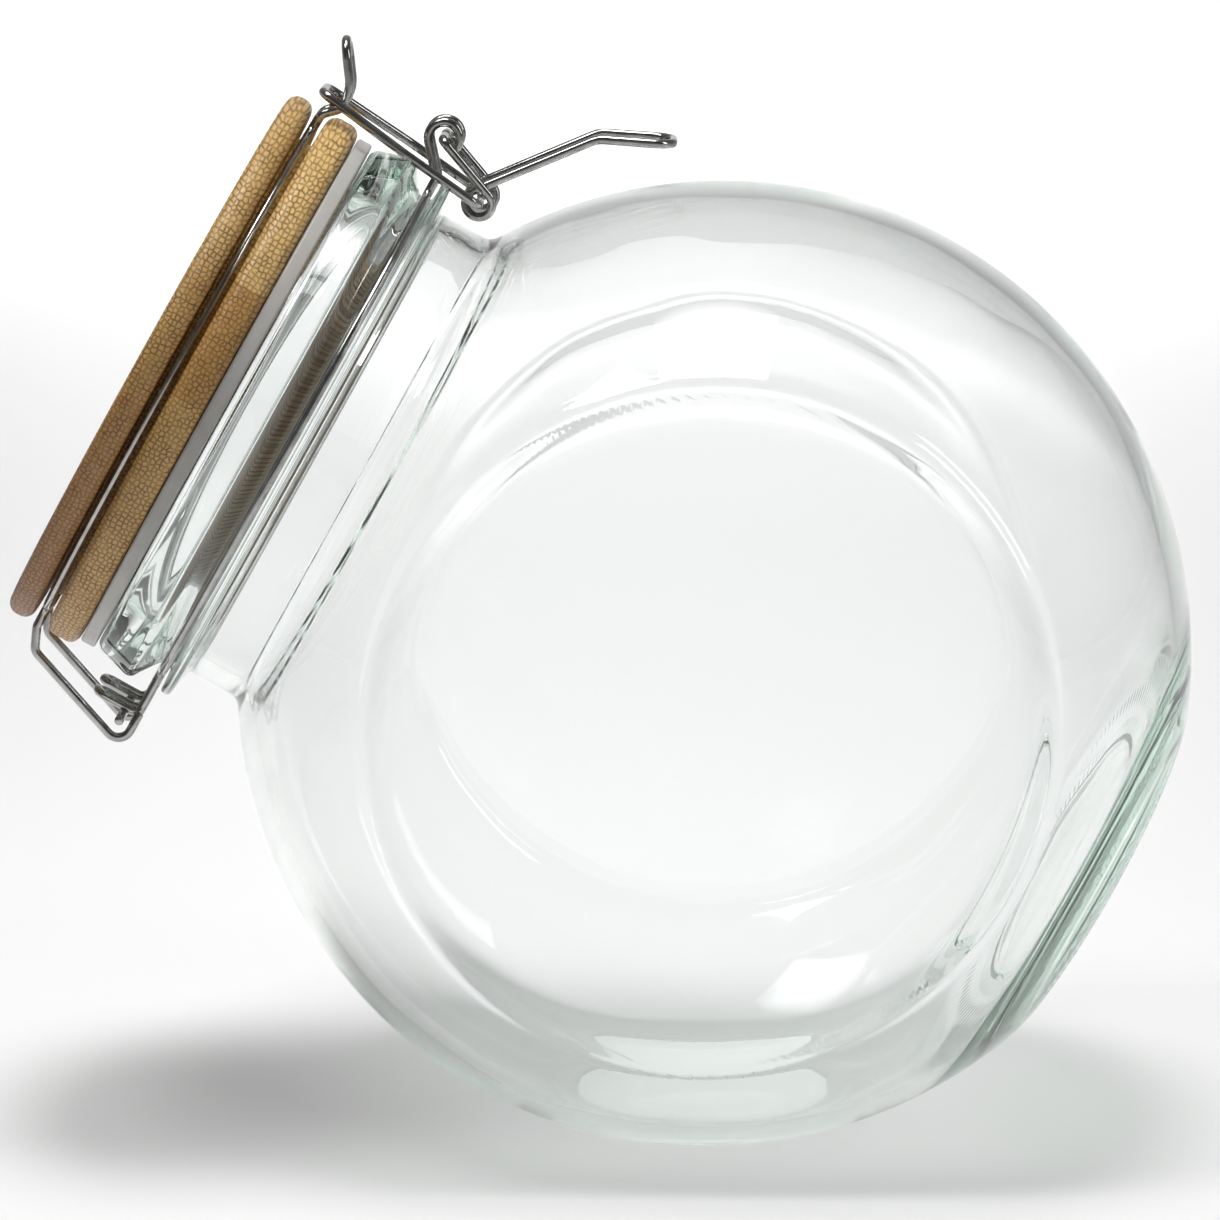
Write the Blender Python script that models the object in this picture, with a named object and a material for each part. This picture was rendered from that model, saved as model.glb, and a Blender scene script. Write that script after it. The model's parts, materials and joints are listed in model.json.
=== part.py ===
"""Bail clamp jar: a round glass jar that lies tilted on a facet, with a bamboo lid and a wire clamp.

Every piece is modelled in the jar's own frame. Z runs along the neck and out of the mouth, X points to the
lever's side and Y across the two flat windows, with the origin in the middle of the round body. The empty
jar_frame then leans that frame back until the resting facet lies on the ground. Lengths are in metres.
"""

import math

import bmesh
import bpy
import numpy as np
from mathutils import Matrix, Vector

MM = 0.001

# Posture: how far the neck rises above the horizontal when the jar lies on its facet.
NECK_RISE = math.radians(29.2)

# Glass body: a slightly flattened sphere, cut by two windows, the base and the resting facet.
BODY_RADIUS = 100 * MM
BODY_HALF_HEIGHT = 97.6 * MM
WINDOW_DISTANCE = 72.8 * MM
BASE_DISTANCE = 90.5 * MM
FACET_DISTANCE = 94.5 * MM
WALL = 3.6 * MM
BASE_THICKNESS = 9 * MM
BASE_RING_OUTER = 34 * MM
BASE_RING_INNER = 29.5 * MM
BASE_RECESS = 1.2 * MM
HEEL_RADIUS = 40.5 * MM
INNER_FLOOR_RADIUS = 50 * MM

# Neck: a straight tube with a bead, the wire's groove and a collar that flares down from the rim.
NECK_RADIUS = 53.6 * MM
BORE_RADIUS = 50.2 * MM
BEAD_RADIUS = 60.2 * MM
BEAD_BOTTOM, BEAD_TOP = 94.6 * MM, 96.8 * MM
GROOVE_RADIUS = 54.8 * MM
GROOVE_TOP = 99.6 * MM
COLLAR_RADIUS = 60.9 * MM
COLLAR_BOTTOM = 103.6 * MM
RIM_RADIUS = 58.2 * MM
RIM_HEIGHT = 112.6 * MM
RIM_MIDDLE = 54.2 * MM

# Bamboo lid, as heights along the neck's axis.
LID_RADIUS = 60.5 * MM
LID_EDGE = 2.4 * MM
PLUG_RADIUS = 48.6 * MM
PLUG_BOTTOM = 109.5 * MM
LID_BOTTOM = 116.4 * MM
LID_GROOVE_BOTTOM, LID_GROOVE_TOP = 123.5 * MM, 127.0 * MM
LID_GROOVE_RADIUS = 52.6 * MM
LID_TOP = 132.6 * MM
GASKET_RADIUS = 58.8 * MM
FIT_GAP = 0.3 * MM

# Wire clamp. Places are (x, z) in the jar's frame, and half widths are along Y.
WIRE = 0.95 * MM
NECK_RING_RADIUS, NECK_RING_HEIGHT = 56.1 * MM, 98.35 * MM
BAIL_RING_RADIUS, BAIL_RING_HEIGHT = 56.0 * MM, 125.25 * MM
LEVER_PIVOT = (68.2 * MM, 101.0 * MM)
LINK_PIVOT = (60.4 * MM, 88.4 * MM)
CATCH = (64.5 * MM, 126.8 * MM)
LID_PIVOT = (-68.4 * MM, 101.2 * MM)
NECK_EYE_RADIUS, NECK_EYE_HALF = 3.2 * MM, 3.5 * MM
LEVER_HALF, HANDLE_HALF = 8.2 * MM, 5.9 * MM
LEVER_EYE_RADIUS = 2.75 * MM
HANDLE_BEND = (83.5 * MM, 73.8 * MM)
HANDLE_TIP = (90.0 * MM, 60.0 * MM)
LINK_HALF, CATCH_HALF, LINK_TIP_HALF = 10.6 * MM, 6.0 * MM, 4.4 * MM
LINK_STRAIGHT = 18 * MM
TONGUE_HALF = 4.0 * MM
LEG_HALF = 11.0 * MM
HAIRPIN_HALVES = (8.0 * MM, 4.0 * MM)
HAIRPIN_REACH = LID_PIVOT[0] + 2 * WIRE + FIT_GAP
HAIRPIN_TOP = 108 * MM
PIN_LENGTH = 25.6 * MM

# Fineness of the round shapes.
COLUMNS = 48
BODY_ROWS = 18
RING_STEP = math.radians(7.5)
BEND_STEP = math.radians(26)


def clear_scene():
    """Empties the scene."""
    for obj in list(bpy.data.objects):
        bpy.data.objects.remove(obj, do_unlink=True)


def material(name, color, roughness, metallic=0.0, transmission=0.0, ior=1.45):
    """A Principled material with one colour."""
    made = bpy.data.materials.new(name)
    made.use_nodes = True
    shader = made.node_tree.nodes["Principled BSDF"]
    shader.inputs["Base Color"].default_value = (*color, 1)
    shader.inputs["Roughness"].default_value = roughness
    shader.inputs["Metallic"].default_value = metallic
    shader.inputs["Transmission Weight"].default_value = transmission
    shader.inputs["IOR"].default_value = ior
    return made


def place(obj, look, pivot=None):
    """Gives an object its material, puts its origin on its pivot, and hangs it in the jar's frame."""
    obj.data.materials.append(look)
    if pivot is not None:
        origin = Vector((pivot[0], 0, pivot[1]))
        obj.data.transform(Matrix.Translation(-origin))
        obj.location = origin
    obj.parent = bpy.data.objects["jar_frame"]
    return obj


def new_mesh_object(name, mesh):
    obj = bpy.data.objects.new(name, mesh)
    bpy.context.scene.collection.objects.link(obj)
    mesh.shade_smooth()
    mesh.set_sharp_from_angle(angle=math.radians(35))
    return obj


# ---- Outlines -------------------------------------------------------------------------------------------


def rounded(corners, step):
    """A line through corners, each a (point, bend radius), with every corner turned into an arc."""
    line = []
    for i, (point, radius) in enumerate(corners):
        point = Vector(point)
        if radius <= 0 or i in (0, len(corners) - 1):
            line.append(point)
            continue
        back = (Vector(corners[i - 1][0]) - point).normalized()
        on = (Vector(corners[i + 1][0]) - point).normalized()
        turn = math.pi - back.angle(on)
        reach = radius * math.tan(turn / 2)
        centre = point + (back + on).normalized() * radius / math.cos(turn / 2)
        first, last = point + back * reach, point + on * reach
        pieces = max(1, math.ceil(turn / step))
        for k in range(pieces + 1):
            share = k / pieces
            swing = math.sin((1 - share) * turn), math.sin(share * turn)
            arm = ((first - centre) * swing[0] + (last - centre) * swing[1]) / math.sin(turn)
            line.append(centre + arm)
    return line


def outline(corners):
    """A turned part's outline in the XZ plane, from (radius, height, bend radius) corners."""
    return rounded([((r, 0, z), bend) for r, z, bend in corners], math.radians(50))


# ---- Turned pieces --------------------------------------------------------------------------------------


def spun(line, closed):
    """The surface that an outline sweeps about Z. An open outline may end on the axis."""
    bm = bmesh.new()
    points = [bm.verts.new(p) for p in line]
    pairs = zip(points, points[1:] + points[:1]) if closed else zip(points, points[1:])
    edges = [bm.edges.new(pair) for pair in pairs]
    bmesh.ops.spin(
        bm, geom=points + edges, cent=(0, 0, 0), axis=(0, 0, 1), angle=math.tau, steps=COLUMNS, use_merge=True
    )
    bmesh.ops.remove_doubles(bm, verts=bm.verts, dist=1e-6)
    return bm


def solid_object(name, bm):
    """Makes an object of a closed surface."""
    bmesh.ops.remove_doubles(bm, verts=bm.verts, dist=1e-6)
    bmesh.ops.recalc_face_normals(bm, faces=bm.faces)
    mesh = bpy.data.meshes.new(name)
    bm.to_mesh(mesh)
    bm.free()
    return new_mesh_object(name, mesh)


def bamboo_lid(look):
    """The lid: plug, inner disc, wire groove and outer disc, turned from one board."""
    line = outline(
        [
            (0, PLUG_BOTTOM, 0),
            (PLUG_RADIUS, PLUG_BOTTOM, 1.0 * MM),
            (PLUG_RADIUS, LID_BOTTOM, 0),
            (LID_RADIUS, LID_BOTTOM, LID_EDGE),
            (LID_RADIUS, LID_GROOVE_BOTTOM, LID_EDGE),
            (LID_GROOVE_RADIUS, LID_GROOVE_BOTTOM, 0),
            (LID_GROOVE_RADIUS, LID_GROOVE_TOP, 0),
            (LID_RADIUS, LID_GROOVE_TOP, LID_EDGE),
            (LID_RADIUS, LID_TOP, LID_EDGE),
            (0, LID_TOP, 0),
        ]
    )
    return place(solid_object("bamboo_lid", spun(line, closed=False)), look)


def silicone_gasket(look):
    """The sealing ring, between the lid and the glass rim."""
    inner = PLUG_RADIUS + FIT_GAP
    bottom, top = RIM_HEIGHT + FIT_GAP, LID_BOTTOM - FIT_GAP
    bend = 0.5 * MM
    line = outline(
        [
            ((inner + GASKET_RADIUS) / 2, bottom, 0),
            (GASKET_RADIUS, bottom, bend),
            (GASKET_RADIUS, top, bend),
            (inner, top, bend),
            (inner, bottom, bend),
            ((inner + GASKET_RADIUS) / 2 - MM, bottom, 0),
        ]
    )
    return place(solid_object("silicone_gasket", spun(line, closed=True)), look)


# ---- Glass jar ------------------------------------------------------------------------------------------


def spheroid_points(wall, first_radius, last_radius, rows):
    """(radius, height, 0) points up the side of the body's round shape, drawn in by the wall's thickness."""
    radius, half_height = BODY_RADIUS - wall, BODY_HALF_HEIGHT - wall
    start = math.asin(first_radius / radius)
    end = math.pi - math.asin(last_radius / radius)
    return [(radius * math.sin(t), -half_height * math.cos(t), 0) for t in np.linspace(start, end, rows)]


def outer_outline():
    """The glass outline from the base's centre, up the outside, to the top of the rim."""
    return outline(
        [
            (0, BASE_RECESS - BASE_DISTANCE, 0),
            (BASE_RING_INNER - 1.5 * MM, BASE_RECESS - BASE_DISTANCE, 0),
            (BASE_RING_INNER, -BASE_DISTANCE, 0),
            (BASE_RING_OUTER, -BASE_DISTANCE, 0),
            *spheroid_points(0, HEEL_RADIUS, NECK_RADIUS + 2.0 * MM, BODY_ROWS),
            (*on_body(NECK_RADIUS, 0), 1.2 * MM),
            (NECK_RADIUS, BEAD_BOTTOM - 1.0 * MM, 0.8 * MM),
            (BEAD_RADIUS, BEAD_BOTTOM + 0.2 * MM, 0.7 * MM),
            (BEAD_RADIUS, BEAD_TOP, 0.7 * MM),
            (GROOVE_RADIUS, BEAD_TOP + 0.3 * MM, 0.4 * MM),
            (GROOVE_RADIUS, GROOVE_TOP, 0.8 * MM),
            (COLLAR_RADIUS, COLLAR_BOTTOM, 1.6 * MM),
            (RIM_RADIUS, RIM_HEIGHT, 1.6 * MM),
            (RIM_MIDDLE, RIM_HEIGHT, 0),
        ]
    )


def inner_outline():
    """The glass outline from the top of the rim, down the inside, to the middle of the floor."""
    floor = BASE_THICKNESS - BASE_DISTANCE
    inner_wall = spheroid_points(WALL, INNER_FLOOR_RADIUS, BORE_RADIUS + 2.2 * MM, BODY_ROWS - 2)
    return outline(
        [
            (RIM_MIDDLE, RIM_HEIGHT, 0),
            (BORE_RADIUS, RIM_HEIGHT, 1.2 * MM),
            (*on_body(BORE_RADIUS, WALL), 1.2 * MM),
            *inner_wall[::-1],
            (INNER_FLOOR_RADIUS - 4.0 * MM, floor, 0),
            (0, floor, 0),
        ]
    )


def on_body(radius, wall):
    """The (radius, height) of the point near the neck where the body has this radius."""
    share = radius / (BODY_RADIUS - wall)
    return radius, (BODY_HALF_HEIGHT - wall) * math.sqrt(1 - share * share)


def flattened(bm, normal, distance):
    """Slices off all that lies past a plane, and closes the cut with one flat face."""
    cut = bmesh.ops.bisect_plane(
        bm,
        geom=bm.verts[:] + bm.edges[:] + bm.faces[:],
        dist=1.0 * MM,
        plane_co=normal * distance,
        plane_no=normal,
        clear_outer=True,
    )
    edges = [piece for piece in cut["geom_cut"] if isinstance(piece, bmesh.types.BMEdge)]
    for vert in {vert for edge in edges for vert in edge.verts}:
        vert.co -= normal * (vert.co.dot(normal) - distance)
    bmesh.ops.contextual_create(bm, geom=edges)


def glass_surface(line, wall):
    """One side of the glass, with the two windows and the resting facet cut flat."""
    bm = spun(line, closed=False)
    facet = Vector((-math.cos(NECK_RISE), 0, -math.sin(NECK_RISE)))
    flattened(bm, Vector((0, 1, 0)), WINDOW_DISTANCE - wall)
    flattened(bm, Vector((0, -1, 0)), WINDOW_DISTANCE - wall)
    flattened(bm, facet, FACET_DISTANCE - wall)
    mesh = bpy.data.meshes.new("glass_jar")
    bm.to_mesh(mesh)
    bm.free()
    return mesh


def glass_jar(look):
    """The jar: one closed glass shell, whose outside and inside meet along the rim."""
    bm = bmesh.new()
    for line, wall in ((outer_outline(), 0), (inner_outline(), WALL)):
        side = glass_surface(line, wall)
        bm.from_mesh(side)
        bpy.data.meshes.remove(side)
    return place(solid_object("glass_jar", bm), look)


# ---- Wire pieces ----------------------------------------------------------------------------------------


def wire(name, points, look, pivot=None):
    """A round wire along a line of points, with flat ends."""
    curve = bpy.data.curves.new(name, "CURVE")
    curve.dimensions = "3D"
    curve.bevel_depth = WIRE
    curve.bevel_resolution = 2
    curve.use_fill_caps = True
    spline = curve.splines.new("POLY")
    spline.points.add(len(points) - 1)
    for point, place_on_line in zip(spline.points, points):
        point.co = (*place_on_line, 1)
    obj = bpy.data.objects.new(name, curve)
    bpy.context.scene.collection.objects.link(obj)
    return place(obj, look, pivot)


def both_sides(half):
    """A whole wire from its +Y half, which runs from one end to the middle plane."""
    mirrored = [Vector((p.x, -p.y, p.z)) for p in half]
    return half + mirrored[::-1]


def ring_points(radius, height, start, end):
    """Points round the neck's axis between two angles, without the ends."""
    pieces = max(2, math.ceil(abs(end - start) / RING_STEP))
    turns = np.linspace(start, end, pieces + 1)[1:-1]
    return [((radius * math.cos(t), radius * math.sin(t), height), 0) for t in turns]


def ring_corner(radius, height, half, front):
    """The point of a ring that lies at half from the middle plane, and its angle."""
    turn = math.asin(half / radius)
    turn = turn if front else math.pi - turn
    return (radius * math.cos(turn), half, height), turn


def coil(centre, radius, start, sweep, halves):
    """Points round an eye that turns about Y, from a start angle, while Y goes from one half width to another."""
    pieces = math.ceil(abs(sweep) / BEND_STEP)
    points = []
    for k in range(pieces + 1):
        share = k / pieces
        turn = start + sweep * share
        half = halves[0] + (halves[1] - halves[0]) * share
        points.append(
            ((centre[0] + radius * math.cos(turn), half, centre[1] + radius * math.sin(turn)), 0)
        )
    return points


def tangent_turn(point, centre, radius, side):
    """The angle on a circle where a line from an outside point touches it. side is +1 or -1."""
    dx, dz = point[0] - centre[0], point[1] - centre[1]
    return math.atan2(dz, dx) + side * math.acos(radius / math.hypot(dx, dz))


def neck_wire(look):
    """The neck's wire: front eyes for the lever, the ring in the groove, and hairpins for the hinge pin."""
    y = NECK_EYE_HALF
    front, front_turn = ring_corner(NECK_RING_RADIUS, NECK_RING_HEIGHT, y, front=True)
    root = (front[0] + 4.2 * MM, NECK_RING_HEIGHT)
    touch = tangent_turn(root, LEVER_PIVOT, NECK_EYE_RADIUS, side=-1)
    eye = coil(LEVER_PIVOT, NECK_EYE_RADIUS, touch, -math.radians(232), (y, y))
    last = Vector(eye[-1][0])
    tail = last + (last - Vector(eye[-2][0])).normalized() * 1.6 * MM
    outer, inner = HAIRPIN_HALVES
    back_out, back_turn = ring_corner(NECK_RING_RADIUS, NECK_RING_HEIGHT, outer, front=False)
    back_in, _ = ring_corner(NECK_RING_RADIUS, NECK_RING_HEIGHT, inner, front=False)
    bend = 1.95 * MM
    half = [(tail, 0), *eye[::-1], ((root[0], y, root[1]), 1.8 * MM), (front, 2.0 * MM)]
    half += ring_points(NECK_RING_RADIUS, NECK_RING_HEIGHT, front_turn, back_turn)
    half += [
        (back_out, bend),
        ((HAIRPIN_REACH, outer, NECK_RING_HEIGHT), bend),
        ((HAIRPIN_REACH, outer, HAIRPIN_TOP), bend),
        ((HAIRPIN_REACH, inner, HAIRPIN_TOP), bend),
        ((HAIRPIN_REACH, inner, NECK_RING_HEIGHT), bend),
        (back_in, bend),
        ((-NECK_RING_RADIUS, 0.4 * MM, NECK_RING_HEIGHT), 0),
    ]
    return wire("neck_wire", both_sides(rounded(half, BEND_STEP)), look)


def bail_wire(look):
    """The lid's wire: hooks and legs at the back, the ring in the lid's groove, and the tongue in front."""
    y = LEG_HALF
    back, back_turn = ring_corner(BAIL_RING_RADIUS, BAIL_RING_HEIGHT, y, front=False)
    front, front_turn = ring_corner(BAIL_RING_RADIUS, BAIL_RING_HEIGHT, TONGUE_HALF, front=True)
    half = [
        ((-65.2 * MM, y, 98.2 * MM), 0),
        ((-73.4 * MM, y, 98.2 * MM), 2.8 * MM),
        ((-64.4 * MM, y, 123.2 * MM), 2.4 * MM),
        ((-59.6 * MM, y, BAIL_RING_HEIGHT), 2.0 * MM),
        (back, 2.4 * MM),
    ]
    half += ring_points(BAIL_RING_RADIUS, BAIL_RING_HEIGHT, back_turn, front_turn)
    y = TONGUE_HALF
    half += [
        (front, 2.0 * MM),
        ((60.2 * MM, y, 125.1 * MM), 2.6 * MM),
        ((63.2 * MM, y, 122.0 * MM), 2.4 * MM),
        ((67.6 * MM, y, 122.3 * MM), 7.0 * MM),
        ((75.6 * MM, y, 127.9 * MM), y - 0.1 * MM),
        ((75.6 * MM, 0.05 * MM, 127.9 * MM), 0),
    ]
    return wire("bail_wire", both_sides(rounded(half, BEND_STEP)), look, LID_PIVOT)


def closing_link(look):
    """The link: its ends turn in the lever's eyes, and its crossbar hooks over the tongue."""
    start = Vector((LINK_PIVOT[0], 0, LINK_PIVOT[1]))
    end = Vector((CATCH[0], 0, CATCH[1]))
    shoulder = start + (end - start).normalized() * LINK_STRAIGHT
    half = [
        ((start.x, LINK_TIP_HALF, start.z), 0),
        ((start.x, LINK_HALF, start.z), 1.9 * MM),
        ((shoulder.x, LINK_HALF, shoulder.z), 8.0 * MM),
        ((end.x, CATCH_HALF, end.z), 2.6 * MM),
        ((end.x, 0.1 * MM, end.z), 0),
    ]
    return wire("closing_link", both_sides(rounded(half, BEND_STEP)), look, LINK_PIVOT)


def toggle_lever(look):
    """The lever: an axle in the neck's eyes, two arms, an eye on each for the link, and the handle."""
    arrive = tangent_turn(LEVER_PIVOT, LINK_PIVOT, LEVER_EYE_RADIUS, side=-1)
    leave = tangent_turn(HANDLE_BEND, LINK_PIVOT, LEVER_EYE_RADIUS, side=1)
    sweep = -((arrive - leave) % math.tau)
    half = [
        ((LEVER_PIVOT[0], 0.1 * MM, LEVER_PIVOT[1]), 0),
        ((LEVER_PIVOT[0], LEVER_HALF, LEVER_PIVOT[1]), 1.7 * MM),
        *coil(LINK_PIVOT, LEVER_EYE_RADIUS, arrive, sweep, (LEVER_HALF, HANDLE_HALF)),
        ((HANDLE_BEND[0], HANDLE_HALF + 0.6 * MM, HANDLE_BEND[1]), 6.0 * MM),
        ((HANDLE_TIP[0], HANDLE_HALF + 1.0 * MM, HANDLE_TIP[1]), 4.0 * MM),
        ((HANDLE_TIP[0], 0.1 * MM, HANDLE_TIP[1]), 0),
    ]
    return wire("toggle_lever", both_sides(rounded(half, BEND_STEP)), look, LEVER_PIVOT)


def hinge_pin(look):
    """The straight pin across the hairpins."""
    bm = bmesh.new()
    bmesh.ops.create_cone(
        bm,
        cap_ends=True,
        segments=12,
        radius1=WIRE,
        radius2=WIRE,
        depth=PIN_LENGTH,
        matrix=Matrix.Rotation(math.pi / 2, 4, "X"),
    )
    mesh = bpy.data.meshes.new("hinge_pin")
    bm.to_mesh(mesh)
    bm.free()
    obj = new_mesh_object("hinge_pin", mesh)
    place(obj, look)
    obj.location = (LID_PIVOT[0], 0, LID_PIVOT[1])
    return obj


# ---- The whole object -----------------------------------------------------------------------------------


def jar_frame():
    """The empty that leans the jar back onto its facet, with the facet's middle at the world's origin."""
    frame = bpy.data.objects.new("jar_frame", None)
    bpy.context.scene.collection.objects.link(frame)
    flatness = 1 / BODY_HALF_HEIGHT**2 - 1 / BODY_RADIUS**2
    rise, run = math.sin(NECK_RISE), math.cos(NECK_RISE)
    curve = run * run / BODY_HALF_HEIGHT**2 + rise * rise / BODY_RADIUS**2
    frame.location = (FACET_DISTANCE * rise * run * flatness / curve, 0, FACET_DISTANCE)
    frame.rotation_euler = (0, NECK_RISE - math.pi / 2, 0)


def main():
    clear_scene()
    jar_frame()
    glass = material("glass", (0.93, 0.96, 0.94), 0.02, transmission=1.0, ior=1.5)
    bamboo = material("bamboo", (0.66, 0.45, 0.22), 0.55)
    silicone = material("silicone", (0.78, 0.77, 0.73), 0.4, transmission=0.4)
    steel = material("steel_wire", (0.62, 0.62, 0.62), 0.2, metallic=1.0)
    glass_jar(glass)
    neck_wire(steel)
    hinge_pin(steel)
    bail_wire(steel)
    bamboo_lid(bamboo)
    silicone_gasket(silicone)
    toggle_lever(steel)
    closing_link(steel)


main()
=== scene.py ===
"""The looks of the bail clamp jar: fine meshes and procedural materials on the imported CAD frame."""

import json
import math

import bmesh
import bpy
import numpy as np
from mathutils import Matrix, Vector


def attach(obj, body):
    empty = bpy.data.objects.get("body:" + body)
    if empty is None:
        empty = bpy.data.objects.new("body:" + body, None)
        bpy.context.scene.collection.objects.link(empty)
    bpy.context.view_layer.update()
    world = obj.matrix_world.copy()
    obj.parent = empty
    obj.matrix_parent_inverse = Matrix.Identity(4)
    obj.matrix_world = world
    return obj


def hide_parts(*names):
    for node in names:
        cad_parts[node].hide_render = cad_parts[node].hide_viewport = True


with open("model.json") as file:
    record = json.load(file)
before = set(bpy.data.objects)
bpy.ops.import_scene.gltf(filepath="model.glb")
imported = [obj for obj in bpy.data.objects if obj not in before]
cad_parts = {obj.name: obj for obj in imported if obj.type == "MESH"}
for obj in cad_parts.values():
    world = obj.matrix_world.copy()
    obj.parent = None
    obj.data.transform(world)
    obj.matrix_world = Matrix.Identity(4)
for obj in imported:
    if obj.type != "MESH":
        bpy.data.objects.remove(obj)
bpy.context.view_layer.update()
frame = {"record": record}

MM = 0.001
RECORD = frame["record"]
MOUNTS = {mount["name"]: mount for mount in RECORD["mounts"]}
PIVOTS = {joint["name"]: Vector(joint["pos_m"]) for joint in RECORD["behaviour"]["joints"]}

# The jar's own frame: Z out of the mouth, X to the lever's side, origin in the middle of the body.
LID_TOP = 132.6 * MM
UP = Vector(MOUNTS["lid_top"]["axis"]).normalized()
ACROSS = Vector((0, 1, 0))
SIDE = ACROSS.cross(UP)
CENTRE = Vector(MOUNTS["lid_top"]["pos_m"]) - UP * LID_TOP
JAR = Matrix.Translation(CENTRE) @ Matrix((SIDE, ACROSS, UP)).transposed().to_4x4()
TO_JAR = JAR.inverted()


def in_jar(point):
    """The (x, z) of a world point in the jar's frame."""
    local = TO_JAR @ Vector(point)
    return (local.x, local.z)


# Glass.
BODY_RADIUS, BODY_HALF_HEIGHT = 99.95 * MM, 97.6 * MM
WINDOW_DISTANCE = 72.8 * MM
BASE_DISTANCE = 90.5 * MM
FACET_DISTANCE = 94.5 * MM
WALL = 3.6 * MM
BASE_THICKNESS = 8.5 * MM
BASE_RING_OUTER, BASE_RING_INNER, BASE_RECESS = 34 * MM, 29.5 * MM, 1.2 * MM
KNURL_RINGS = ((32.0 * MM, 1.5 * MM), (39.5 * MM, 2.2 * MM))
KNURLS, KNURL_DEPTH = 108, 0.45 * MM
OUTER_ROUNDING = (1.3 * MM, 0.9 * MM, 2.2 * MM)
INNER_ROUNDING = (4.0 * MM, 3.0 * MM, 7.0 * MM)
NECK_RADIUS, BORE_RADIUS = 53.6 * MM, 50.2 * MM
BEAD_RADIUS, BEAD_BOTTOM, BEAD_TOP = 60.2 * MM, 94.6 * MM, 96.8 * MM
GROOVE_RADIUS, GROOVE_TOP = 54.8 * MM, 99.6 * MM
COLLAR_RADIUS, COLLAR_BOTTOM = 60.9 * MM, 103.6 * MM
RIM_RADIUS, RIM_HEIGHT = 58.2 * MM, 112.6 * MM

# Lid and gasket.
LID_RADIUS, LID_EDGE = 60.4 * MM, 2.4 * MM
PLUG_RADIUS, PLUG_BOTTOM = 48.6 * MM, 109.5 * MM
LID_BOTTOM = 116.4 * MM
LID_GROOVE_BOTTOM, LID_GROOVE_TOP, LID_GROOVE_RADIUS = 123.5 * MM, 127.0 * MM, 52.6 * MM
GASKET_RADIUS = 58.8 * MM
FIT_GAP = 0.3 * MM

# Wire clamp.
WIRE = 0.95 * MM
NECK_RING_RADIUS, NECK_RING_HEIGHT = 56.1 * MM, 98.35 * MM
BAIL_RING_RADIUS, BAIL_RING_HEIGHT = 56.0 * MM, 125.25 * MM
LEVER_PIVOT = in_jar(PIVOTS["lever_hinge"])
LINK_PIVOT = in_jar(PIVOTS["link_hinge"])
LID_PIVOT = in_jar(PIVOTS["lid_hinge"])
CATCH = (64.5 * MM, 126.8 * MM)
NECK_EYE_RADIUS, NECK_EYE_HALF = 3.2 * MM, 3.5 * MM
LEVER_HALF, HANDLE_HALF = 8.2 * MM, 5.9 * MM
LEVER_EYE_RADIUS = 2.75 * MM
HANDLE_BEND = (83.5 * MM, 73.8 * MM)
HANDLE_TIP = (90.0 * MM, 60.0 * MM)
LINK_HALF, CATCH_HALF, LINK_TIP_HALF = 10.6 * MM, 6.0 * MM, 4.4 * MM
LINK_STRAIGHT = 18 * MM
TONGUE_HALF = 4.0 * MM
LEG_HALF = 11.0 * MM
HAIRPIN_HALVES = (8.0 * MM, 4.0 * MM)
HAIRPIN_REACH = LID_PIVOT[0] + 2 * WIRE + FIT_GAP
HAIRPIN_TOP = 108 * MM
PIN_LENGTH = 25.6 * MM

# Fineness of the round shapes.
COLUMNS = 432
BODY_ROWS = 230
BEND_STEP = math.radians(7)


# ---- Materials ------------------------------------------------------------------------------------------


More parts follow.
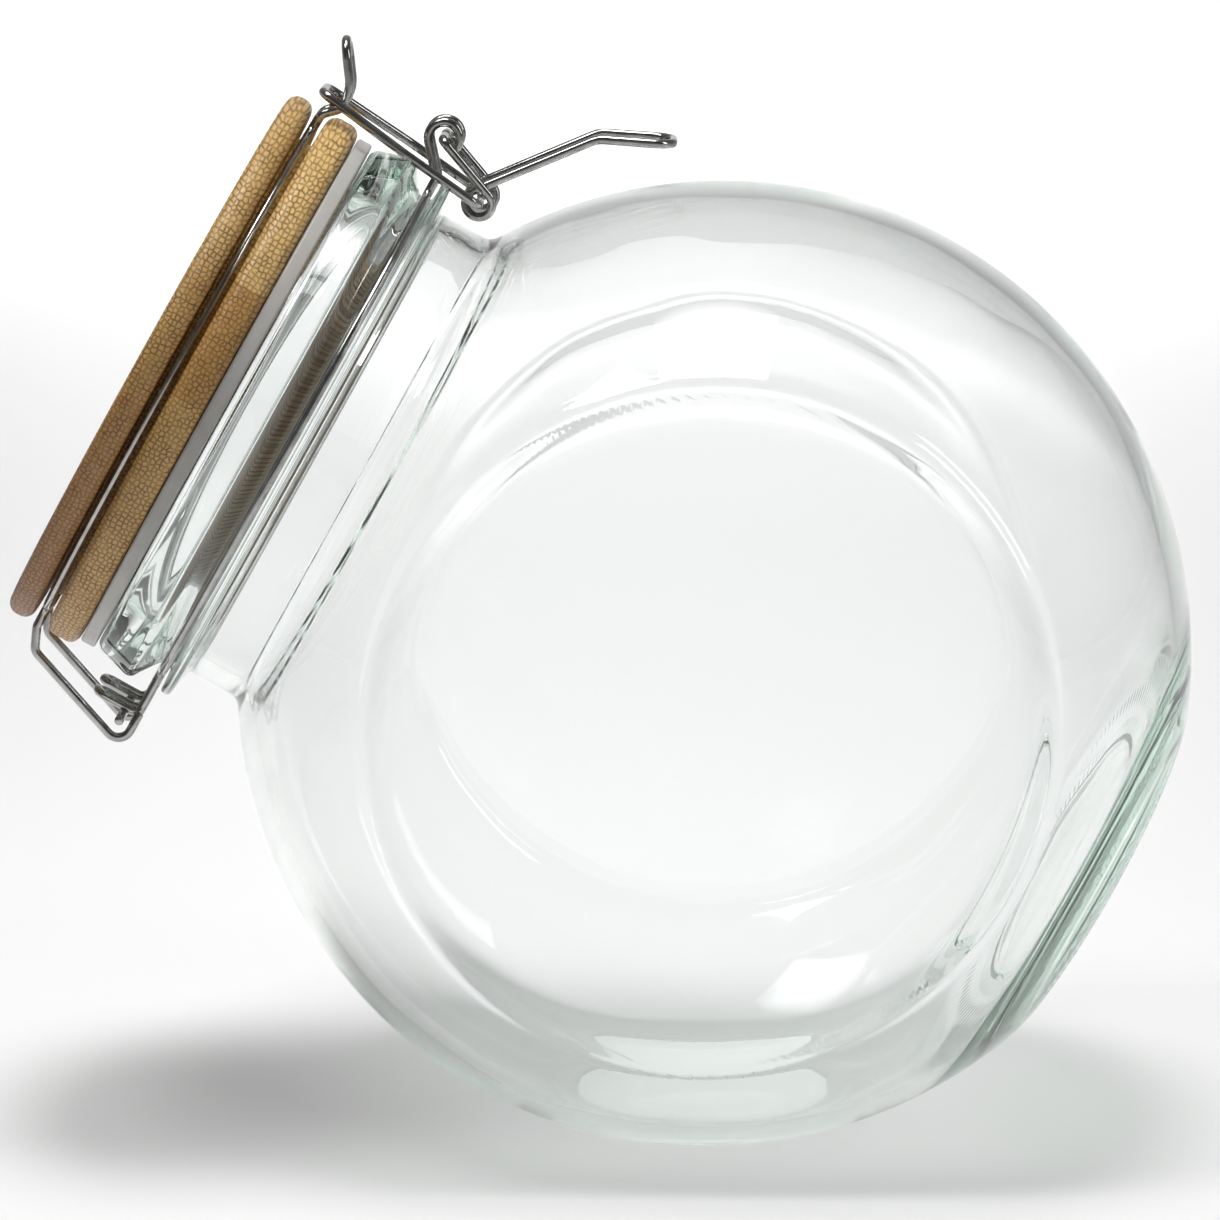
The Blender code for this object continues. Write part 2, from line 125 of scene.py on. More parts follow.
class Shading:
    """A material's node tree, with short calls to add and join nodes."""

    def __init__(self, name):
        self.material = bpy.data.materials.new(name)
        self.material.use_nodes = True
        self.tree = self.material.node_tree
        self.shader = self.tree.nodes["Principled BSDF"]

    def node(self, kind, inputs=None, **settings):
        """A new node, with its settings and what feeds each of its inputs."""
        made = self.tree.nodes.new(kind)
        for key, value in settings.items():
            setattr(made, key, value)
        for key, value in (inputs or {}).items():
            self.feed(made.inputs[key], value)
        return made

    def feed(self, socket, value):
        """Joins a socket to the node output given, or sets it to the plain value given."""
        if isinstance(value, bpy.types.NodeSocket):
            self.tree.links.new(value, socket)
        else:
            socket.default_value = value

    def set(self, **inputs):
        """Feeds the shader's inputs, named with _ for each space."""
        for key, value in inputs.items():
            self.feed(self.shader.inputs[key.replace("_", " ")], value)

    def place(self, scale=(1, 1, 1)):
        """The point's place in the jar's frame at rest, scaled."""
        rest = self.node("ShaderNodeAttribute", attribute_name="rest_place")
        return self.node(
            "ShaderNodeMapping", {"Vector": rest.outputs["Vector"], "Scale": scale}
        ).outputs["Vector"]

    def noise(self, vector, scale, detail=3.0, roughness=0.5):
        inputs = {"Vector": vector, "Scale": scale, "Detail": detail, "Roughness": roughness}
        return self.node("ShaderNodeTexNoise", inputs).outputs["Fac"]

    def ramp(self, value, stops, interpolation="LINEAR"):
        """A colour read from (place, colour) stops."""
        made = self.node("ShaderNodeValToRGB", {"Fac": value})
        made.color_ramp.interpolation = interpolation
        elements = made.color_ramp.elements
        while len(elements) < len(stops):
            elements.new(0.5)
        for element, (at, color) in zip(elements, stops):
            element.position = at
            element.color = (*color, 1) if len(color) == 3 else color
        return made.outputs["Color"]

    def map(self, value, low, high, to_low, to_high):
        """The value moved from low..high to to_low..to_high, and held inside it."""
        limits = {"From Min": low, "From Max": high, "To Min": to_low, "To Max": to_high}
        return self.node("ShaderNodeMapRange", {"Value": value, **limits}).outputs["Result"]

    def math(self, operation, a, b=0.0):
        made = self.node("ShaderNodeMath", {0: a, 1: b}, operation=operation)
        return made.outputs["Value"]

    def mix(self, share, a, b, blend="MIX"):
        """Two colours blended. The Mix node's sockets 0, 6 and 7 are its share and its two colours."""
        made = self.node("ShaderNodeMix", data_type="RGBA", blend_type=blend)
        self.feed(made.inputs[0], share)
        self.feed(made.inputs[6], a)
        self.feed(made.inputs[7], b)
        return made.outputs[2]

    def bump(self, height, strength, distance, normal=None):
        inputs = {"Height": height, "Strength": strength, "Distance": distance}
        if normal is not None:
            inputs["Normal"] = normal
        return self.node("ShaderNodeBump", inputs).outputs["Normal"]


def glass_material():
    """Clear glass, faintly green in its thickness and a little wavy. Its shadow is darker edge on."""
    s = Shading("clear_glass")
    s.set(Base_Color=(1, 1, 1, 1), Roughness=0.0, IOR=1.5, Transmission_Weight=1.0)
    apart = s.node("ShaderNodeSeparateXYZ", {"Vector": s.place()})
    below_neck = s.map(apart.outputs["Z"], 0.070, 0.086, 1.0, 0.0)
    waves = s.math("MULTIPLY", s.noise(s.place(), 26.0, 1.5, 0.4), below_neck)
    s.set(Normal=s.bump(waves, 0.25, 0.0008))
    light = s.node("ShaderNodeLightPath")
    edge_on = s.node("ShaderNodeLayerWeight", {"Blend": 0.35}).outputs["Facing"]
    let_through = s.ramp(
        edge_on, [(0.0, (0.92, 0.925, 0.92)), (0.5, (0.82, 0.83, 0.82)), (1.0, (0.30, 0.31, 0.30))]
    )
    clear = s.node("ShaderNodeBsdfTransparent", {"Color": let_through})
    mixed = s.node("ShaderNodeMixShader", {0: light.outputs["Is Shadow Ray"]})
    s.feed(mixed.inputs[1], s.shader.outputs["BSDF"])
    s.feed(mixed.inputs[2], clear.outputs["BSDF"])
    output = s.tree.nodes["Material Output"]
    s.feed(output.inputs["Surface"], mixed.outputs["Shader"])
    depth = s.node(
        "ShaderNodeVolumeAbsorption", {"Color": (0.55, 0.84, 0.68, 1), "Density": 9.0}
    )
    s.feed(output.inputs["Volume"], depth.outputs["Volume"])
    return s.material


def bamboo_material():
    """Glued bamboo strips with their fibre along Y: the lid's rim shows the cut ends of the bundles."""
    s = Shading("turned_bamboo")
    apart = s.node("ShaderNodeSeparateXYZ", {"Vector": s.place()})
    across = s.node("ShaderNodeCombineXYZ", {"X": apart.outputs["X"], "Y": apart.outputs["Z"]})
    bundles = s.node(
        "ShaderNodeTexVoronoi",
        {"Vector": across.outputs["Vector"], "Scale": 960.0, "Randomness": 0.6},
        voronoi_dimensions="2D",
        feature="DISTANCE_TO_EDGE",
    )
    border = s.map(bundles.outputs["Distance"], 0.05, 0.26, 1.0, 0.0)
    patchy = s.map(s.noise(s.place(), 420.0, 2.0, 0.5), 0.35, 0.65, 0.55, 1.0)
    dots = s.math("MULTIPLY", border, patchy)
    fine = s.noise(s.place((1, 0.015, 1)), 2600.0, 3.0, 0.6)
    cloud = s.noise(s.place((1, 0.25, 1)), 60.0, 3.0, 0.5)
    outer = s.math("GREATER_THAN", apart.outputs["Z"], BAIL_RING_HEIGHT - 0.05 * MM)
    along = s.map(apart.outputs["X"], -0.0605, 0.0605, 0.0, 1.0)
    inner_strips = [
        (0.0, (0.78, 0.53, 0.20)),
        (0.2, (0.74, 0.50, 0.19)),
        (0.538, (0.60, 0.36, 0.12)),
        (0.74, (0.86, 0.60, 0.24)),
    ]
    # The outer disc's strips are strip tones and painted shade as well: they step darker towards its lower
    # side, at -X.
    outer_strips_and_shade = [
        (0.0, (0.56, 0.33, 0.13)),
        (0.25, (0.62, 0.38, 0.14)),
        (0.5, (0.70, 0.46, 0.17)),
        (0.72, (0.80, 0.55, 0.22)),
    ]
    inner_disc = s.ramp(along, inner_strips, "CONSTANT")
    outer_disc = s.ramp(along, outer_strips_and_shade, "CONSTANT")
    ground = s.mix(outer, inner_disc, outer_disc)
    shade = s.ramp(cloud, [(0.25, (0.78, 0.73, 0.66)), (0.75, (1.0, 1.0, 1.0))])
    ground = s.mix(1.0, ground, shade, "MULTIPLY")
    # Painted shade: the lid's lower side, towards -X, is mixed towards dark brown, more on the outer disc
    # than on the inner.
    low = s.map(apart.outputs["X"], -0.055, 0.035, 1.0, 0.0)
    low = s.math("MULTIPLY", low, s.map(outer, 0.0, 1.0, 0.30, 0.72))
    ground = s.mix(low, ground, (0.25, 0.105, 0.03, 1))
    streak = s.ramp(fine, [(0.35, (0.80, 0.74, 0.66)), (0.65, (1.05, 1.02, 0.98))])
    ground = s.mix(0.8, ground, streak, "MULTIPLY")
    color = s.mix(s.math("MULTIPLY", dots, 0.86), ground, (0.13, 0.055, 0.015, 1))
    s.set(Base_Color=color, Coat_Weight=0.12, Coat_Roughness=0.35)
    s.set(Roughness=s.map(dots, 0.0, 1.0, 0.42, 0.62))
    s.set(Normal=s.bump(s.math("SUBTRACT", fine, dots), 0.35, 0.00012))
    return s.material


def steel_material():
    """Bright drawn stainless wire, with faint draw marks and handling haze."""
    s = Shading("drawn_steel")
    haze = s.noise(s.place(), 320.0, 3.0, 0.55)
    marks = s.noise(s.place(), 5200.0, 2.0, 0.5)
    color = s.ramp(haze, [(0.3, (0.36, 0.355, 0.345)), (0.7, (0.52, 0.515, 0.50))])
    s.set(Base_Color=color, Metallic=1.0)
    s.set(Roughness=s.map(haze, 0.3, 0.7, 0.09, 0.20))
    s.set(Normal=s.bump(marks, 0.10, 0.00004))
    return s.material


def silicone_material():
    """Translucent grey-white silicone."""
    s = Shading("clear_silicone")
    cloud = s.noise(s.place(), 240.0, 2.0, 0.5)
    color = s.ramp(cloud, [(0.3, (0.84, 0.83, 0.79)), (0.7, (0.93, 0.92, 0.89))])
    s.set(Base_Color=color, Roughness=0.36, IOR=1.41, Transmission_Weight=0.55)
    s.set(Normal=s.bump(cloud, 0.15, 0.0002))
    return s.material


def floor_material():
    """Matt pale paper."""
    s = Shading("pale_floor")
    grain = s.noise(s.place(), 300.0, 2.0, 0.5)
    tone = s.ramp(grain, [(0.0, (0.90, 0.90, 0.90)), (1.0, (0.93, 0.93, 0.93))])
    s.set(Base_Color=tone, Roughness=0.75, Specular_IOR_Level=0.2)
    return s.material


# ---- Meshes ---------------------------------------------------------------------------------------------


def shown(name, mesh, material, body, slot, *nodes):
    """Adds a piece modelled in the jar's frame, which rides on a body and stands for its CAD nodes."""
    mesh.materials.append(material)
    mesh.shade_smooth()
    points = np.empty(len(mesh.vertices) * 3, np.float32)
    mesh.vertices.foreach_get("co", points)
    mesh.attributes.new("rest_place", "FLOAT_VECTOR", "POINT").data.foreach_set("vector", points)
    mesh.transform(JAR)
    obj = bpy.data.objects.new(name, mesh)
    bpy.context.scene.collection.objects.link(obj)
    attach(obj, body)
    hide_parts(*nodes)
    return obj


def grid_mesh(name, rows, closed_ends=False):
    """A mesh through rings of points, which are (rows, columns, 3). A closed end gets one flat face."""
    rows = np.asarray(rows)
    count, columns = rows.shape[:2]
    faces = []
    for r in range(count - 1):
        for c in range(columns):
            beside = (c + 1) % columns
            low, high = r * columns, (r + 1) * columns
            faces.append((low + c, low + beside, high + beside, high + c))
    if closed_ends:
        faces.append(tuple(range(columns))[::-1])
        faces.append(tuple(range((count - 1) * columns, count * columns)))
    mesh = bpy.data.meshes.new(name)
    mesh.from_pydata(rows.reshape(-1, 3).tolist(), [], faces)
    return mesh


def rounded(corners, step):
    """A line through (point, bend radius) corners, with every corner turned into an arc."""
    line = []
    for i, (point, radius) in enumerate(corners):
        point = Vector(point)
        if radius <= 0 or i in (0, len(corners) - 1):
            line.append(point)
            continue
        back = (Vector(corners[i - 1][0]) - point).normalized()
        on = (Vector(corners[i + 1][0]) - point).normalized()
        turn = math.pi - back.angle(on)
        reach = radius * math.tan(turn / 2)
        centre = point + (back + on).normalized() * radius / math.cos(turn / 2)
        first, last = point + back * reach, point + on * reach
        pieces = max(1, math.ceil(turn / step))
        for k in range(pieces + 1):
            share = k / pieces
            swing = math.sin((1 - share) * turn), math.sin(share * turn)
            line.append(centre + ((first - centre) * swing[0] + (last - centre) * swing[1]) / math.sin(turn))
    return line


def outline(corners, step=math.radians(10)):
    """A turned part's outline as (radius, height) points, from (radius, height, bend radius) corners."""
    return [(p.x, p.z) for p in rounded([((r, 0, z), bend) for r, z, bend in corners], step)]


def refined(line, longest):
    """The outline with points added, so that no stretch is longer than this."""
    points = [line[0]]
    for start, end in zip(line, line[1:]):
        pieces = max(1, math.ceil(math.dist(start, end) / longest))
        for k in range(1, pieces + 1):
            points.append(tuple(a + (b - a) * k / pieces for a, b in zip(start, end)))
    return points


def turned_rows(line, columns=COLUMNS):
    """The rings that an outline sweeps about Z."""
    turns = np.arange(columns) * math.tau / columns
    line = np.array(line)
    radius, height = line[:, :1], line[:, 1:]
    return np.stack([radius * np.cos(turns), radius * np.sin(turns), height + 0 * turns], axis=2)


# ---- Glass ----------------------------------------------------------------------------------------------


def soft_min(a, b, width):
    """The smaller of two arrays, with the change-over rounded where they differ by less than width."""
    overlap = np.maximum(width - np.abs(a - b), 0) / width
    return np.minimum(a, b) - overlap * overlap * width / 4


def body_rows(angles, wall, base_distance, rounding):
    """Rings of the body's surface at angles from the base's centre, drawn in by the wall's thickness.

    The flats round off into the sphere over the three widths of rounding: windows, facet and base.
    """
    turns = np.arange(COLUMNS) * math.tau / COLUMNS
    angles = np.asarray(angles)[:, None]
    x = np.sin(angles) * np.cos(turns)
    y = np.sin(angles) * np.sin(turns)
    z = -np.cos(angles) + 0 * turns
    reach = 1 / np.hypot(np.hypot(x, y) / (BODY_RADIUS - wall), z / (BODY_HALF_HEIGHT - wall))
    facet = TO_JAR.to_3x3() @ Vector((0, 0, -1))
    flats = (
        ((0, 1, 0), WINDOW_DISTANCE - wall, rounding[0]),
        ((0, -1, 0), WINDOW_DISTANCE - wall, rounding[0]),
        (facet, FACET_DISTANCE - wall, rounding[1]),
        ((0, 0, -1), base_distance, rounding[2]),
    )
    for normal, distance, soft in flats:
        facing = normal[0] * x + normal[1] * y + normal[2] * z
        cut = distance / np.maximum(facing, 0.05)
        reach = np.where(facing > 0.05, soft_min(reach, cut, soft), reach)
    return np.stack([x * reach, y * reach, z * reach], axis=2)


def on_body(radius, wall):
    """The (radius, height) of the round body's upper side at a radius, drawn in by the wall."""
    share = radius / (BODY_RADIUS - wall)
    return radius, (BODY_HALF_HEIGHT - wall) * math.sqrt(1 - share * share)


def stipple(rows):
    """How far each point moves to knurl the base ring: rows of short dimples round the heel."""
    radius = np.hypot(rows[..., 0], rows[..., 1])
    turn = np.arctan2(rows[..., 1], rows[..., 0])
    outside = rows[..., 2] < 0.6 * MM - BASE_DISTANCE + (radius - BASE_RING_OUTER).clip(0) * 0.45
    shift = np.zeros_like(rows)
    for at, width in KNURL_RINGS:
        near = np.clip(1 - np.abs(radius - at) / width, 0, 1) * outside
        shift[..., 2] += near * (0.5 + 0.5 * np.cos(turn * KNURLS)) * KNURL_DEPTH
    return shift


def glass_jar():
    """One closed surface: the base from its centre, the outside, the neck over its rim, and the inside."""
    shoulder = on_body(NECK_RADIUS + 3.0 * MM, 0)
    throat = on_body(BORE_RADIUS + 7.0 * MM, WALL)
    base = outline(
        [
            (0.2 * MM, BASE_RECESS - BASE_DISTANCE, 0),
            (BASE_RING_INNER - 1.5 * MM, BASE_RECESS - BASE_DISTANCE, 1.0 * MM),
            (BASE_RING_INNER, 0.05 * MM - BASE_DISTANCE, 0.5 * MM),
            (BASE_RING_OUTER - 0.5 * MM, 0.05 * MM - BASE_DISTANCE, 0),
        ]
    )
    neck = outline(
        [
            (*shoulder, 0),
            (*on_body(NECK_RADIUS, 0), 3.2 * MM),
            (NECK_RADIUS, BEAD_BOTTOM - 1.0 * MM, 0.8 * MM),
            (BEAD_RADIUS, BEAD_BOTTOM + 0.2 * MM, 0.9 * MM),
            (BEAD_RADIUS, BEAD_TOP, 0.9 * MM),
            (GROOVE_RADIUS, BEAD_TOP + 0.3 * MM, 0.6 * MM),
            (GROOVE_RADIUS, GROOVE_TOP, 1.2 * MM),
            (COLLAR_RADIUS, COLLAR_BOTTOM, 2.2 * MM),
            (RIM_RADIUS, RIM_HEIGHT, 2.2 * MM),
            (BORE_RADIUS, RIM_HEIGHT, 1.6 * MM),
            (*on_body(BORE_RADIUS, WALL), 9.0 * MM),
            (*throat, 0),
        ]
    )
    start = math.atan2(BASE_RING_OUTER, BASE_DISTANCE)
    end = math.pi - math.atan2(*shoulder)
    outer = body_rows(np.linspace(start, end, BODY_ROWS)[:-1], 0, BASE_DISTANCE, OUTER_ROUNDING)
    inner_base = BASE_DISTANCE - BASE_THICKNESS
    start = math.pi - math.atan2(*throat)
    inner = body_rows(np.linspace(start, 0.002, BODY_ROWS)[1:], WALL, inner_base, INNER_ROUNDING)
    rows = np.concatenate(
        [turned_rows(refined(base, 2 * MM)), outer, turned_rows(refined(neck, 1.2 * MM)), inner]
    )
    rows += stipple(rows)
    mesh = grid_mesh("glass", rows, closed_ends=True)
    return shown("glass", mesh, glass_material(), "jar", "glass", "glass_jar")


# ---- Lid and gasket -------------------------------------------------------------------------------------


def bamboo_lid():
    """The turned lid: plug, inner disc, wire groove and outer disc."""
    line = outline(
        [
            (0.1 * MM, PLUG_BOTTOM, 0),
            (PLUG_RADIUS, PLUG_BOTTOM, 1.0 * MM),
            (PLUG_RADIUS, LID_BOTTOM, 0.3 * MM),
            (LID_RADIUS, LID_BOTTOM, LID_EDGE),
            (LID_RADIUS, LID_GROOVE_BOTTOM, LID_EDGE),
            (LID_GROOVE_RADIUS, LID_GROOVE_BOTTOM, 0.5 * MM),
            (LID_GROOVE_RADIUS, LID_GROOVE_TOP, 0.5 * MM),
            (LID_RADIUS, LID_GROOVE_TOP, LID_EDGE),
            (LID_RADIUS, LID_TOP, LID_EDGE),
            (0.1 * MM, LID_TOP, 0),
        ]
    )
    mesh = grid_mesh("lid", turned_rows(refined(line, 3 * MM), 360), closed_ends=True)
    return shown("lid", mesh, bamboo_material(), "lid", "bamboo", "bamboo_lid")


def silicone_gasket():
    """The flat ring between the rim and the lid."""
    inner, outer = PLUG_RADIUS + FIT_GAP, GASKET_RADIUS
    bottom, top = RIM_HEIGHT + FIT_GAP, LID_BOTTOM - FIT_GAP
    middle = (inner + outer) / 2
    line = outline(
        [
            (middle, bottom, 0),
            (outer, bottom, 0.6 * MM),
            (outer, top, 0.6 * MM),
            (inner, top, 0.6 * MM),
            (inner, bottom, 0.6 * MM),
            (middle, bottom, 0),
        ]
    )
    mesh = grid_mesh("gasket", turned_rows(line, 288))
    bm = bmesh.new()
    bm.from_mesh(mesh)
    bmesh.ops.remove_doubles(bm, verts=bm.verts, dist=1e-6)
    bmesh.ops.recalc_face_normals(bm, faces=bm.faces)
    bm.to_mesh(mesh)
    bm.free()
    return shown("gasket", mesh, silicone_material(), "lid", "silicone", "silicone_gasket")


# ---- Wires ----------------------------------------------------------------------------------------------


def wire_mesh(name, points):
    """A round wire along a line, with its cut ends slightly rounded."""
    path = [points[0]]
    for point in points[1:]:
        if (point - path[-1]).length > 0.02 * MM:
            path.append(point)
    path = [Vector(p) for p in path]
    tangents = [(path[1] - path[0]).normalized()]
    tangents += [(b - a).normalized() for a, b in zip(path, path[2:])]
    tangents.append((path[-1] - path[-2]).normalized())
    side = tangents[0].orthogonal().normalized()
    rows = []
    sides = 20
    ends = (0.0, 0.62), (0.12 * MM, 0.86), (0.35 * MM, 1.0)
    for i, (point, tangent) in enumerate(zip(path, tangents)):
        side = (side - tangent * side.dot(tangent)).normalized()
        other = tangent.cross(side)
        circle = [side * math.cos(t) + other * math.sin(t) for t in np.arange(sides) * math.tau / sides]
        if i == 0:
            stations = [(reach, share) for reach, share in ends]
        elif i == len(path) - 1:
            stations = [(-reach, share) for reach, share in ends[::-1]]
        else:
            stations = [(0.0, 1.0)]
        for reach, share in stations:
            rows.append([point + tangent * reach + spoke * WIRE * share for spoke in circle])
    return grid_mesh(name, rows, closed_ends=True)


def both_sides(half):
    """A line and its mirror image over the middle plane, joined where it ends near that plane."""
    mirrored = [Vector((p.x, -p.y, p.z)) for p in half]
    return half + mirrored[::-1]


def ring_points(radius, height, start, end):
    """Corners along a level arc, less the two at each end, where a bend needs the room."""
    pieces = max(2, math.ceil(abs(end - start) / math.radians(1.5)))
    turns = np.linspace(start, end, pieces + 1)[2:-2]
    return [((radius * math.cos(t), radius * math.sin(t), height), 0) for t in turns]


def ring_corner(radius, height, half, front):
    """The point of a ring at a half width, on its front or back, and its angle."""
    turn = math.asin(half / radius)
    turn = turn if front else math.pi - turn
    return (radius * math.cos(turn), half, height), turn


def coil(centre, radius, start, sweep, halves):
    """Corners round an eye, which moves along Y from the first half width to the second."""
    pieces = math.ceil(abs(sweep) / BEND_STEP)
    points = []
    for k in range(pieces + 1):
        share = k / pieces
        turn = start + sweep * share
        half = halves[0] + (halves[1] - halves[0]) * share
        points.append(((centre[0] + radius * math.cos(turn), half, centre[1] + radius * math.sin(turn)), 0))
    return points


def tangent_turn(point, centre, radius, side):
    """The angle on a circle where a line from the point touches it."""
    dx, dz = point[0] - centre[0], point[1] - centre[1]
    return math.atan2(dz, dx) + side * math.acos(radius / math.hypot(dx, dz))


def neck_wire(steel):
    """The ring in the neck's groove, with the lever's eyes in front and the hairpins behind."""
    y = NECK_EYE_HALF
    front, front_turn = ring_corner(NECK_RING_RADIUS, NECK_RING_HEIGHT, y, front=True)
    root = (front[0] + 4.2 * MM, NECK_RING_HEIGHT)
    touch = tangent_turn(root, LEVER_PIVOT, NECK_EYE_RADIUS, side=-1)
    eye = coil(LEVER_PIVOT, NECK_EYE_RADIUS, touch, -math.radians(232), (y, y))
    last = Vector(eye[-1][0])
    tail = last + (last - Vector(eye[-2][0])).normalized() * 1.6 * MM
    outer, inner = HAIRPIN_HALVES
    back_out, back_turn = ring_corner(NECK_RING_RADIUS, NECK_RING_HEIGHT, outer, front=False)
    back_in, _ = ring_corner(NECK_RING_RADIUS, NECK_RING_HEIGHT, inner, front=False)
    bend = 1.95 * MM
    half = [(tail, 0), *eye[::-1], ((root[0], y, root[1]), 1.8 * MM), (front, 2.0 * MM)]
    half += ring_points(NECK_RING_RADIUS, NECK_RING_HEIGHT, front_turn, back_turn)
    half += [
        (back_out, bend),
        ((HAIRPIN_REACH, outer, NECK_RING_HEIGHT), bend),
        ((HAIRPIN_REACH, outer, HAIRPIN_TOP), bend),
        ((HAIRPIN_REACH, inner, HAIRPIN_TOP), bend),
        ((HAIRPIN_REACH, inner, NECK_RING_HEIGHT), bend),
        (back_in, bend),
        ((-NECK_RING_RADIUS, 0.4 * MM, NECK_RING_HEIGHT), 0),
    ]
    mesh = wire_mesh("neck_ring", both_sides(rounded(half, BEND_STEP)))
    return shown("neck_ring", mesh, steel, "jar", "steel_wire", "neck_wire")


def hinge_pin(steel):
    """The straight pin across the hairpins."""
    x, z = LID_PIVOT
    ends = [Vector((x, -PIN_LENGTH / 2, z)), Vector((x, 0, z)), Vector((x, PIN_LENGTH / 2, z))]
    return shown("pin", wire_mesh("pin", ends), steel, "jar", "steel_wire", "hinge_pin")


def bail_wire(steel):
    """The ring in the lid's groove, with hooked legs behind and the tongue in front."""
    y = LEG_HALF
    back, back_turn = ring_corner(BAIL_RING_RADIUS, BAIL_RING_HEIGHT, y, front=False)
    front, front_turn = ring_corner(BAIL_RING_RADIUS, BAIL_RING_HEIGHT, TONGUE_HALF, front=True)
    half = [
        ((-65.2 * MM, y, 98.2 * MM), 0),
        ((-73.4 * MM, y, 98.2 * MM), 2.8 * MM),
        ((-64.4 * MM, y, 123.2 * MM), 2.4 * MM),
        ((-59.6 * MM, y, BAIL_RING_HEIGHT), 2.0 * MM),
        (back, 2.4 * MM),
    ]
    half += ring_points(BAIL_RING_RADIUS, BAIL_RING_HEIGHT, back_turn, front_turn)
    y = TONGUE_HALF
    half += [
        (front, 2.0 * MM),
        ((60.2 * MM, y, 125.1 * MM), 2.6 * MM),
        ((63.2 * MM, y, 122.0 * MM), 2.4 * MM),
        ((67.6 * MM, y, 122.3 * MM), 7.0 * MM),
        ((75.6 * MM, y, 127.9 * MM), y - 0.1 * MM),
        ((75.6 * MM, 0.05 * MM, 127.9 * MM), 0),
    ]
    mesh = wire_mesh("bail", both_sides(rounded(half, BEND_STEP)))
    return shown("bail", mesh, steel, "lid", "steel_wire", "bail_wire")


def closing_link(steel):
    """The narrowing loop from the lever's eyes to the crossbar over the tongue."""
    start = Vector((LINK_PIVOT[0], 0, LINK_PIVOT[1]))
    end = Vector((CATCH[0], 0, CATCH[1]))
    shoulder = start + (end - start).normalized() * LINK_STRAIGHT
    half = [
        ((start.x, LINK_TIP_HALF, start.z), 0),
        ((start.x, LINK_HALF, start.z), 1.9 * MM),
        ((shoulder.x, LINK_HALF, shoulder.z), 8.0 * MM),
        ((end.x, CATCH_HALF, end.z), 2.6 * MM),
        ((end.x, 0.1 * MM, end.z), 0),
    ]
    mesh = wire_mesh("link", both_sides(rounded(half, BEND_STEP)))
    return shown("link_wire", mesh, steel, "link", "steel_wire", "closing_link")


def toggle_lever(steel):
    """The axle, the two arms with their eyes, and the bent handle."""
    arrive = tangent_turn(LEVER_PIVOT, LINK_PIVOT, LEVER_EYE_RADIUS, side=-1)
    leave = tangent_turn(HANDLE_BEND, LINK_PIVOT, LEVER_EYE_RADIUS, side=1)
    sweep = -((arrive - leave) % math.tau)
    half = [
        ((LEVER_PIVOT[0], 0.1 * MM, LEVER_PIVOT[1]), 0),
        ((LEVER_PIVOT[0], LEVER_HALF, LEVER_PIVOT[1]), 1.7 * MM),
        *coil(LINK_PIVOT, LEVER_EYE_RADIUS, arrive, sweep, (LEVER_HALF, HANDLE_HALF)),
        ((HANDLE_BEND[0], HANDLE_HALF + 0.6 * MM, HANDLE_BEND[1]), 6.0 * MM),
        ((HANDLE_TIP[0], HANDLE_HALF + 1.0 * MM, HANDLE_TIP[1]), 4.0 * MM),
        ((HANDLE_TIP[0], 0.1 * MM, HANDLE_TIP[1]), 0),
    ]
    mesh = wire_mesh("handle", both_sides(rounded(half, BEND_STEP)))
    return shown("handle", mesh, steel, "lever", "steel_wire", "toggle_lever")


# ---- Studio ---------------------------------------------------------------------------------------------


def camera():
    """The photograph's view, from in front of a window and a little above."""
    data = bpy.data.cameras.new("camera")
    data.lens, data.sensor_width = 186, 36
    data.clip_start, data.clip_end = 0.05, 30
    cam = bpy.data.objects.new("camera", data)
    bpy.context.scene.collection.objects.link(cam)
    cam.location = CENTRE + Vector((0.015, -1.277, 0.244))
    aim = CENTRE + Vector((-0.0213, 0, 0.011))
    cam.rotation_euler = (aim - cam.location).to_track_quat("-Z", "Y").to_euler()
    bpy.context.scene.camera = cam


def soft_light(name, place, aim, size, power, spread=180):
    """A rectangular lamp, whose light fans out over spread degrees."""
    data = bpy.data.lights.new(name, "AREA")
    data.spread = math.radians(spread)
    data.shape = "RECTANGLE"
    data.size, data.size_y = size
    data.energy = power
    light = bpy.data.objects.new(name, data)
    bpy.context.scene.collection.objects.link(light)
    light.location = place
    light.rotation_euler = (Vector(aim) - Vector(place)).to_track_quat("-Z", "Y").to_euler()
    return light


def wide_floor():
    """A plain pale floor, past the edges of every view."""
    mesh = bpy.data.meshes.new("floor")
    corners = [(-9, -9, 0), (9, -9, 0), (9, 9, 0), (-9, 9, 0)]
    mesh.from_pydata(corners, [], [(0, 1, 2, 3)])
    mesh.materials.append(floor_material())
    floor = bpy.data.objects.new("floor", mesh)
    bpy.context.scene.collection.objects.link(floor)


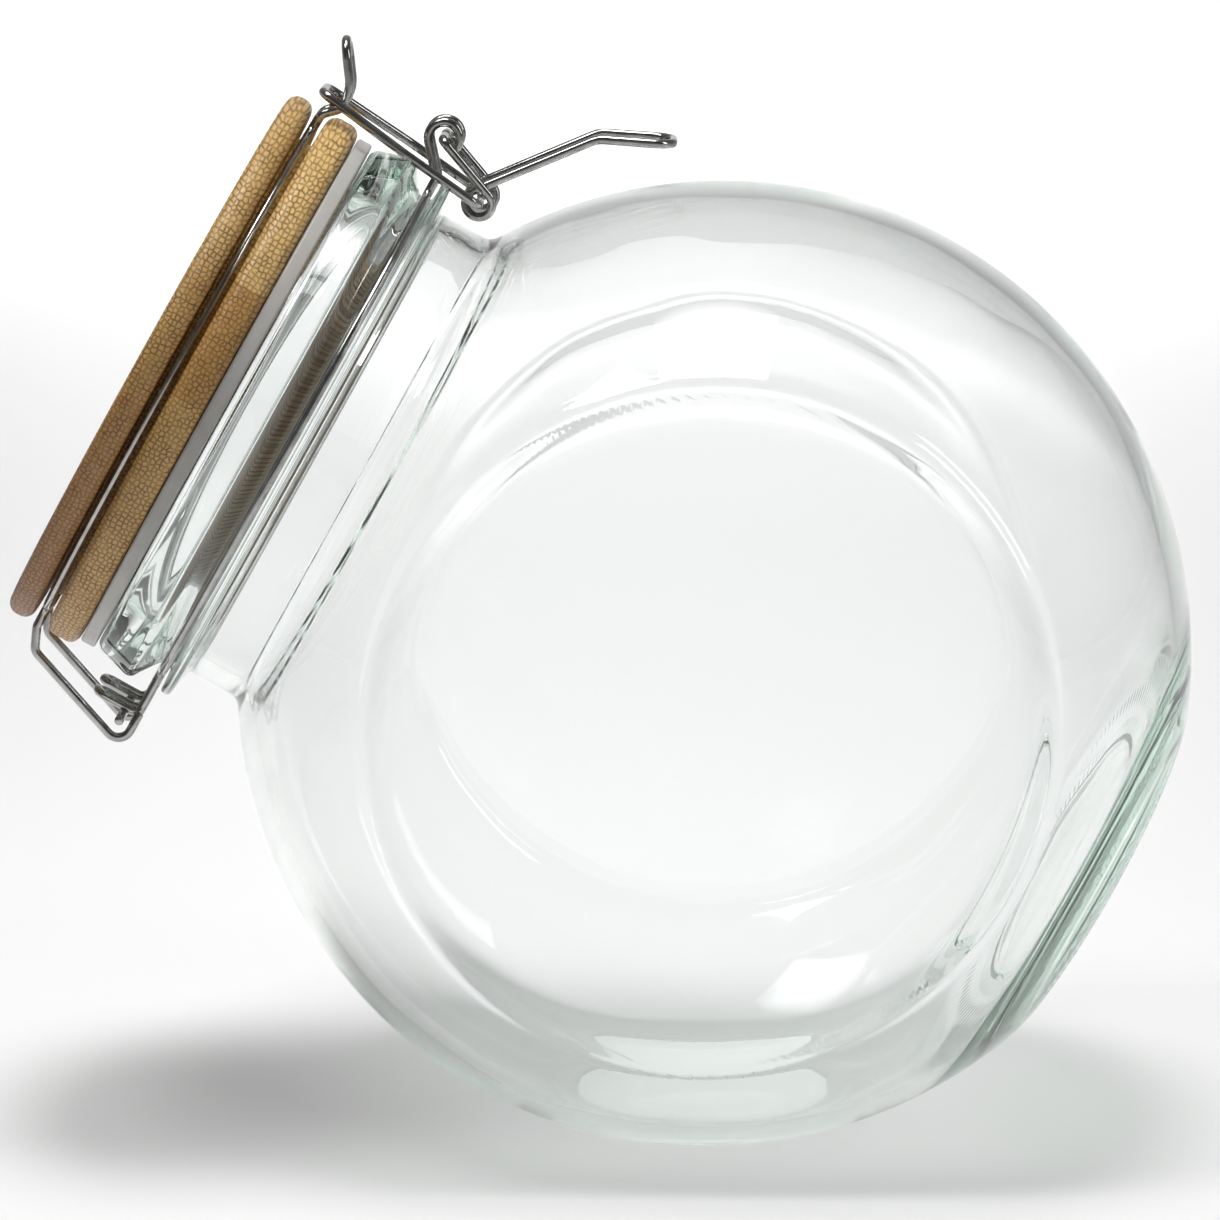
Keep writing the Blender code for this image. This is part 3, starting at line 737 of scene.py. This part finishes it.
def sky():
    """A white studio behind the object, darker overhead, at both sides and behind the camera."""
    world = bpy.data.worlds.new("studio")
    bpy.context.scene.world = world
    world.use_nodes = True
    nodes, links = world.node_tree.nodes, world.node_tree.links
    apart = nodes.new("ShaderNodeSeparateXYZ")
    links.new(nodes.new("ShaderNodeTexCoord").outputs["Generated"], apart.inputs["Vector"])

    def graded(axis, stops):
        """Brightness by one part of the direction, which goes from -1 to 1 as the stops go from 0 to 1."""
        ramp = nodes.new("ShaderNodeValToRGB")
        elements = ramp.color_ramp.elements
        while len(elements) < len(stops):
            elements.new(0.5)
        for element, (at, level) in zip(elements, stops):
            element.position = at
            element.color = (level, level, level, 1)
        spread = nodes.new("ShaderNodeMath")
        spread.operation = "MULTIPLY_ADD"
        spread.inputs[1].default_value = spread.inputs[2].default_value = 0.5
        links.new(apart.outputs[axis], spread.inputs[0])
        links.new(spread.outputs["Value"], ramp.inputs["Fac"])
        return ramp.outputs["Color"]

    def product(a, b):
        """Two brightnesses multiplied."""
        times = nodes.new("ShaderNodeMix")
        times.data_type, times.blend_type = "RGBA", "MULTIPLY"
        times.inputs[0].default_value = 1.0
        links.new(a, times.inputs[6])
        links.new(b, times.inputs[7])
        return times.outputs[2]

    height = graded("Z", ((0.5, 1.0), (0.54, 0.95), (0.62, 0.66), (0.75, 0.42), (1.0, 0.32)))
    depth = graded("Y", ((0.0, 0.25), (0.25, 0.30), (0.42, 0.70), (0.6, 1.0)))
    left = ((0.0, 0.35), (0.25, 0.5), (0.38, 0.8), (0.47, 1.0))
    right = ((0.53, 1.0), (0.62, 0.7), (0.75, 0.45), (1.0, 0.3))
    aside = graded("X", left + right)
    links.new(product(product(height, depth), aside), nodes["Background"].inputs["Color"])
    nodes["Background"].inputs["Strength"].default_value = 0.8


def studio():
    """Floor, sky and lamps: a bright path down the middle of the floor, which gives the glass grey edges."""
    wide_floor()
    sky()
    soft_light("key", (-0.45, -0.3, 1.3), (0, 0, 0.05), (0.35, 0.35), 3.5)
    soft_light("right", (1.1, -0.5, 0.8), (0, 0, 0.1), (0.2, 0.8), 2.5)
    near = soft_light("near", (-0.03, 0.8, 1.7), (-0.03, 0.8, 0), (0.6, 2.4), 2.5, spread=32)
    far = soft_light("far", (-0.13, 5.4, 2.4), (-0.13, 5.4, 0), (1.7, 8.0), 36, spread=50)
    near.visible_transmission = far.visible_transmission = False
    overhead = bpy.data.lights.new("overhead", "SUN")
    overhead.energy, overhead.angle = 0.7, math.radians(24)
    lamp = bpy.data.objects.new("overhead", overhead)
    bpy.context.scene.collection.objects.link(lamp)
    lamp.rotation_euler = (math.radians(-3), math.radians(3), 0)
    overhead.use_shadow = False
    lamp.visible_glossy = False
    lamp.visible_transmission = False
    bpy.context.scene.view_settings.view_transform = "Standard"
    bpy.context.scene.view_settings.exposure = 0.1
    # Light runs along inside the thick base by many reflections. The glass lets lamps through by its own
    # shadow shader, so light that is bent through it as well would count twice.
    cycles = bpy.context.scene.cycles
    cycles.max_bounces = cycles.glossy_bounces = cycles.transmission_bounces = 24
    cycles.caustics_refractive = False


def main():
    """Sets the studio up and builds the eight pieces."""
    camera()
    studio()
    glass_jar()
    bamboo_lid()
    silicone_gasket()
    steel = steel_material()
    neck_wire(steel)
    hinge_pin(steel)
    bail_wire(steel)
    toggle_lever(steel)
    closing_link(steel)


main()
